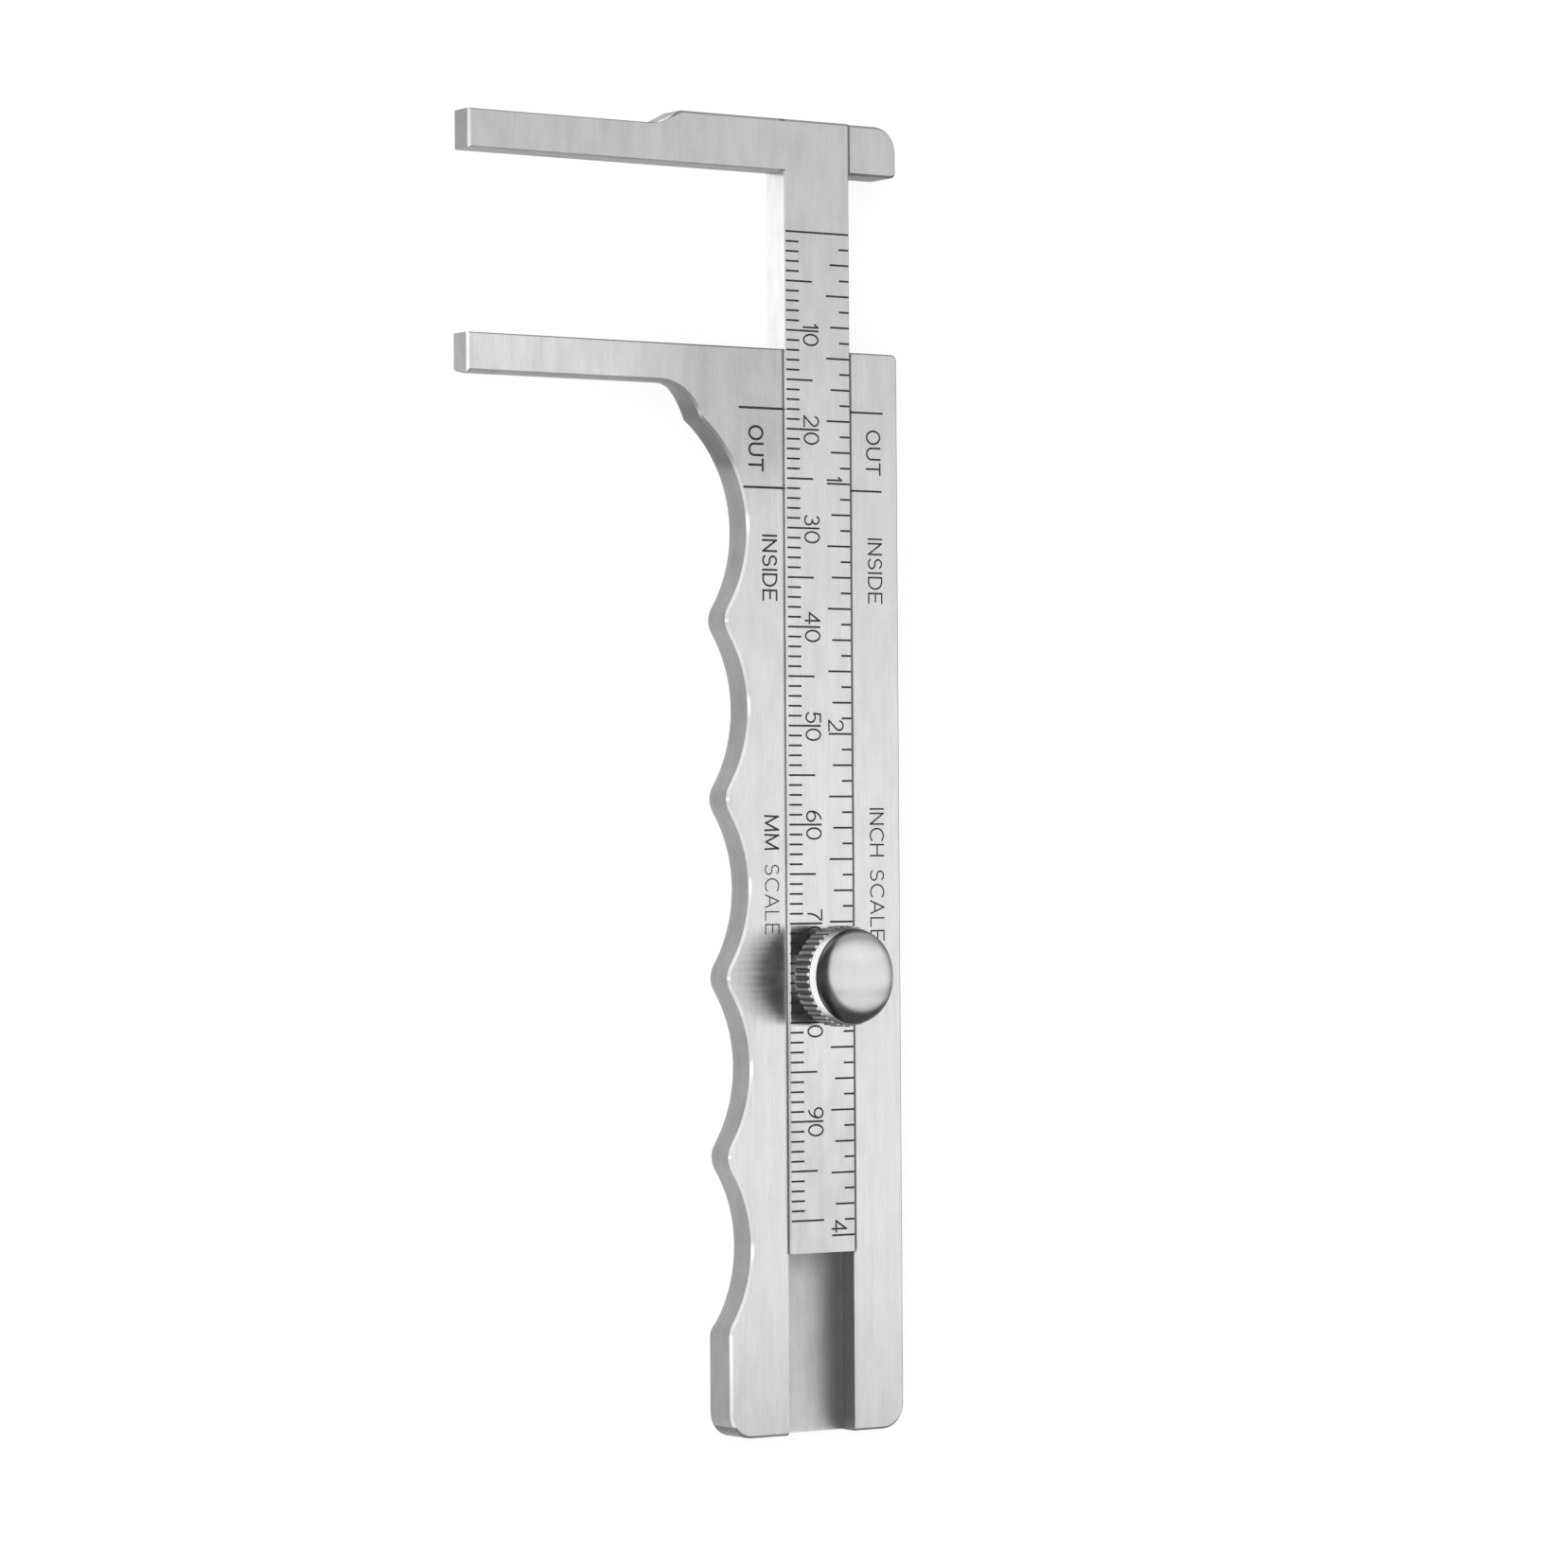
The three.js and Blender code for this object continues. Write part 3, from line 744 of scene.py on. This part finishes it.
# Finishes: name, colour, roughness, anisotropy; regions take effect in their order, and most of their
# colour factors paint light or shade
satin = steel(
    "satin_steel", (0.68, 0.68, 0.68), 0.22, 1.0,
    regions=[
        # Painted light on the fixed jaw and the channel's floor, painted shade in the other regions
        (fixed_jaw, 1.2, 0.22), (jaw_root, 0.84, 0.22),
        (side_faces, 0.58, 0.4), (undersides, 0.6, 0.4), (hook_underside, 0.6, 0.4),
        (channel_floor, 1.46, 0.38), (channel_shade, 0.33, 0.38), (channel_walls, 0.6, 0.4),
        (far_edges, 0.45, 0.3), (end_edge(HANDLE_END), 0.3, 0.3), (close_corners, 0.22, 0.4),
    ],
)
bar_steel = steel(
    "bar_steel", (0.66, 0.66, 0.66), 0.2, 1.0,
    regions=[
        # Painted highlights on the flanks and the shoulder; painted shade in the other regions except
        # bar_end, which is only drawn darker
        (side_faces, 0.58, 0.4), (undersides, 0.6, 0.4), (bar_flanks, 2.55, 0.25),
        (flank_end, 0.68, 0.3), (flank_foot, 0.33, 0.4), (flank_depth, 0.6, 0.3),
        (left_edge, 0.36, 0.3), (bar_end, 0.87, 0.2), (right_edge, 0.5, 0.3),
        (far_edges, 0.45, 0.3), (shoulder, 2.7, 0.25), (end_edge(SLIDE_END), 0.15, 0.3),
    ],
)
turned = steel("turned_steel", (0.56, 0.56, 0.56), 0.25, 0.4, grain_axis="Z")
polished = steel(
    "polished_steel", (0.56, 0.56, 0.56), 0.14, 0.0, streak=0.02, mottle=0.03,
    regions=[
        # Painted light on the ring, the dome's halves and the knob's underside; painted shade, and a
        # painted dark reflection on the dome's rim, in the other regions
        (knurling, 0.72, 0.2), (knurl_grooves, 0.35, 0.4), (knob_ring, 1.6, 0.2),
        (dome_foot, 0.3, 0.3), (dome_half(1), 1.42, 0.14), (dome_half(-1), 1.45, 0.14),
        (dome_rim, 0.26, 0.14), (knob_base, 1.7, 0.9), (knob_spokes, 0.25, 0.9),
    ],
    grain_axis="Z",
)
brass = steel("pad_brass", (0.46, 0.29, 0.08), 0.3, 0.3, grain_axis="Z")
engraved = engraving_material()

# The bar's scales
OVERRUN = 0.1
MM_TICK = 1.57
MM_TICK_FIVE = 3.18
MM_TICK_TEN = 3.92
INCH_STEPS = 16
INCH_TICK = 1.24
INCH_TICK_EIGHTH = 2.35
INCH_TICK_QUARTER = 2.85
DIGIT_HEIGHT = 1.75
DIGIT_BASE = 13.75
DIGIT_GAP = 0.36
INCH_DIGIT_BASE = 16.55


def mm_scale():
    strokes = [line(BAR_LEFT - OVERRUN, ZERO_LINE, BAR_RIGHT + OVERRUN, ZERO_LINE)]
    for step in range(1, FULL_SCALE_MM + 1):
        length = MM_TICK_TEN if step % 10 == 0 else MM_TICK_FIVE if step % 5 == 0 else MM_TICK
        y = ZERO_LINE - step
        strokes.append(line(BAR_LEFT - OVERRUN, y, BAR_LEFT + length, y))
    return strokes


def inch_scale():
    strokes = []
    for step in range(1, FULL_SCALE_INCH * INCH_STEPS + 1):
        length = INCH_TICK
        if step % 2 == 0:
            length = INCH_TICK_EIGHTH
        if step % 4 == 0:
            length = INCH_TICK_QUARTER
        y = ZERO_LINE - step * INCH / INCH_STEPS
        strokes.append(line(BAR_RIGHT - length, y, BAR_RIGHT + OVERRUN, y))
    return strokes


def bar_numbers():
    strokes = []
    for ten in range(1, FULL_SCALE_MM // 10):
        y = ZERO_LINE - 10 * ten
        width = GLYPHS[str(ten)][0] * DIGIT_HEIGHT
        strokes += word(str(ten), DIGIT_BASE, y + DIGIT_GAP + width, DIGIT_HEIGHT)
        strokes += word("0", DIGIT_BASE, y - DIGIT_GAP, DIGIT_HEIGHT)
    for whole in range(1, FULL_SCALE_INCH + 1):
        y = ZERO_LINE - whole * INCH
        width = GLYPHS[str(whole)][0] * DIGIT_HEIGHT
        strokes += word(str(whole), INCH_DIGIT_BASE, y + DIGIT_GAP + width, DIGIT_HEIGHT)
    return strokes


# The handle's words: text, base, start, length and line width; worn words have finer lines
CAP_HEIGHT = 1.62
CHANNEL_LEFT = MIDDLE_LINE - 4.0
CHANNEL_RIGHT = MIDDLE_LINE + 4.0
HANDLE_WORDS = [
    ("OUT", 7.33, 35.26, 4.42, 0.25),
    ("INSIDE", 8.91, 24.27, 6.47, 0.21),
    ("MM", 8.95, -4.0, 3.34, 0.2),
    ("SCALE", 8.95, -8.91, 6.96, 0.13),
    ("OUT", 21.78, 35.29, 4.42, 0.2),
    ("INSIDE", 21.91, 24.25, 6.5, 0.18),
    ("INCH", 21.91, -3.29, 4.76, 0.17),
    ("SCALE", 21.91, -9.56, 7.1, 0.16),
]


def index_lines():
    left = [
        line(6.2, OUT_INDEX, CHANNEL_LEFT + OVERRUN, OUT_INDEX),
        line(6.7, INSIDE_INDEX, CHANNEL_LEFT + OVERRUN, INSIDE_INDEX),
    ]
    right = [
        line(CHANNEL_RIGHT - OVERRUN, OUT_INDEX, 23.7, OUT_INDEX),
        line(CHANNEL_RIGHT - OVERRUN, INSIDE_INDEX, 23.5, INSIDE_INDEX),
    ]
    return [(left, HANDLE_FACE, LEFT_INDEX_WIDTH), (right, HANDLE_FACE, LINE_WIDTH)]


def handle_words():
    return [
        (word(text, base, start, CAP_HEIGHT, length), HANDLE_FACE, width)
        for text, base, start, length, width in HANDLE_WORDS
    ]


# Pieces
bar = welded_copy("slide_bar", "graduated_bar", bar_steel)
engrave(
    bar,
    [
        (mm_scale() + inch_scale(), SLIDE_FACE, LINE_WIDTH),
        (bar_numbers(), SLIDE_FACE, LETTER_WIDTH),
    ],
    engraved,
)
handle = welded_copy("handle_plate", "engraved_handle", satin)
engrave(handle, index_lines() + handle_words(), engraved)
for piece, node, body in ((bar, "slide_bar", "slide"), (handle, "handle_plate", "handle")):
    shade_by_angle(piece.data)
    weigh_normals(piece)
    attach(piece, body)
    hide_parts(node)

group = smooth_group()
finish_node("stop_block", satin, group)
for node in ("stop_pin", "thread_bush", "lock_stud"):
    finish_node(node, turned, group)
finish_node("lock_pad", brass, group)
finish_node("lock_knob", polished, group)


# Camera
camera_data = bpy.data.cameras.new("camera")
camera_data.sensor_width = SENSOR
camera_data.sensor_fit = "HORIZONTAL"
camera_data.lens = FOCAL_PIXELS / IMAGE_SIDE * SENSOR
camera_data.clip_start = 0.01
camera_data.clip_end = 20
camera = bpy.data.objects.new("camera", camera_data)
camera.matrix_world = (
    Matrix.Translation(Vector(CAMERA_PLACE) * MM)
    @ Matrix.Rotation(-CAMERA_TURN, 4, "Y")
    @ Matrix.Rotation(-CAMERA_TILT, 4, "X")
    @ Matrix.Rotation(CAMERA_ROLL, 4, "Z")
)
bpy.context.scene.collection.objects.link(camera)
bpy.context.scene.camera = camera


# Floor: radius in metres, and how far it lies below the caliper's back, in millimetres
FLOOR_RADIUS = 0.3
FLOOR_DROP = 0.02
FLOOR_COLOUR = (0.3, 0.3, 0.3, 1)
FLOOR_GLOW = 0.85
WHITE = (1, 1, 1, 1)


def floor_material():
    """Pale to the eye and in reflections; the caliper still throws its shadow on it."""
    material = bpy.data.materials.new("floor")
    material.use_nodes = True
    nodes = Nodes(material.node_tree)
    path = nodes.add("ShaderNodeLightPath")
    seen = nodes.math("MAXIMUM", path.outputs["Is Camera Ray"], path.outputs["Is Glossy Ray"])
    seen = nodes.math("MAXIMUM", seen, path.outputs["Is Transmission Ray"])
    diffuse = nodes.add("ShaderNodeBsdfDiffuse", {"Color": FLOOR_COLOUR})
    glow = nodes.add(
        "ShaderNodeEmission", {"Color": WHITE, "Strength": nodes.product(seen, FLOOR_GLOW)}
    )
    both = nodes.add("ShaderNodeAddShader")
    nodes.feed(both.inputs[0], diffuse.outputs[0])
    nodes.feed(both.inputs[1], glow.outputs[0])
    output = nodes.add("ShaderNodeOutputMaterial")
    nodes.feed(output.inputs["Surface"], both.outputs[0])
    return material


floor_mesh = bpy.data.meshes.new("floor")
floor_bm = bmesh.new()
bmesh.ops.create_circle(floor_bm, cap_ends=True, segments=96, radius=FLOOR_RADIUS)
floor_bm.to_mesh(floor_mesh)
floor_bm.free()
floor_mesh.materials.append(floor_material())
floor = bpy.data.objects.new("floor", floor_mesh)
floor.location.z = -FLOOR_DROP * MM
bpy.context.scene.collection.objects.link(floor)


# World: a light tent, bright on the left, dimmer overhead, on the right and round the far right corner
TENT_LEVEL = 1.385


def light_tent():
    """The light by direction: +X is to the right, +Y towards the jaws, +Z up."""
    world = bpy.data.worlds.new("light_tent")
    world.use_nodes = True
    nodes = Nodes(world.node_tree)
    place = nodes.add("ShaderNodeTexCoord").outputs["Generated"]
    x, y, z = nodes.add("ShaderNodeSeparateXYZ", {"Vector": place}).outputs

    def patch(level, *steps):
        """Level where all the steps are 1, and 1 elsewhere."""
        return nodes.ramp(nodes.product(*steps), 0, 1, 1.0, level)

    over_the_left = nodes.math("MAXIMUM", nodes.ramp(x, -0.05, 0.1), nodes.ramp(z, 0.84, 0.92))
    overhead = patch(
        0.3, nodes.ramp(x, 0.4, 0.22), nodes.ramp(y, 0.5, 0.3), nodes.ramp(z, 0.45, 0.62), over_the_left
    )
    grip_end = patch(0.3, nodes.ramp(y, -0.11, -0.34), nodes.ramp(z, 0.3, 0.45), nodes.ramp(x, -0.2, 0.0))
    right = patch(0.3, nodes.ramp(x, 0.7, 1.05), nodes.ramp(z, 0.0, 0.15))
    left = patch(1.7, nodes.ramp(z, 0.76, 0.56), nodes.ramp(x, -0.05, -0.3))
    left_foot = patch(
        0.5, nodes.ramp(z, 0.44, 0.36), nodes.ramp(x, -0.45, -0.6), nodes.ramp(z, -0.1, 0.05)
    )
    far_end = nodes.product(nodes.ramp(y, 0.12, 0.3, 1, 0.45), nodes.ramp(y, 0.4, 0.62, 1, 0.25))
    far_right = nodes.mix(nodes.ramp(x, -0.1, 0.3), 1.0, far_end)
    along = nodes.product(
        nodes.ramp(y, 0.13, 0.0, 0.66, 0.95),
        nodes.ramp(y, -0.02, -0.07, 1.0, 1.04),
        nodes.ramp(y, -0.08, -0.105, 1.0, 0.62),
    )
    below = nodes.ramp(z, -0.2, 0.1, 0.5, 1.0)
    level = nodes.product(left, TENT_LEVEL, overhead, grip_end, right, far_right, left_foot, along, below)
    seen = nodes.add("ShaderNodeLightPath").outputs["Is Camera Ray"]
    strength = nodes.mix(seen, level, 1.0)
    background = nodes.add("ShaderNodeBackground", {"Color": WHITE, "Strength": strength})
    output = nodes.add("ShaderNodeOutputWorld")
    nodes.feed(output.inputs["Surface"], background.outputs[0])
    return world


bpy.context.scene.world = light_tent()
bpy.context.scene.view_settings.view_transform = "Standard"
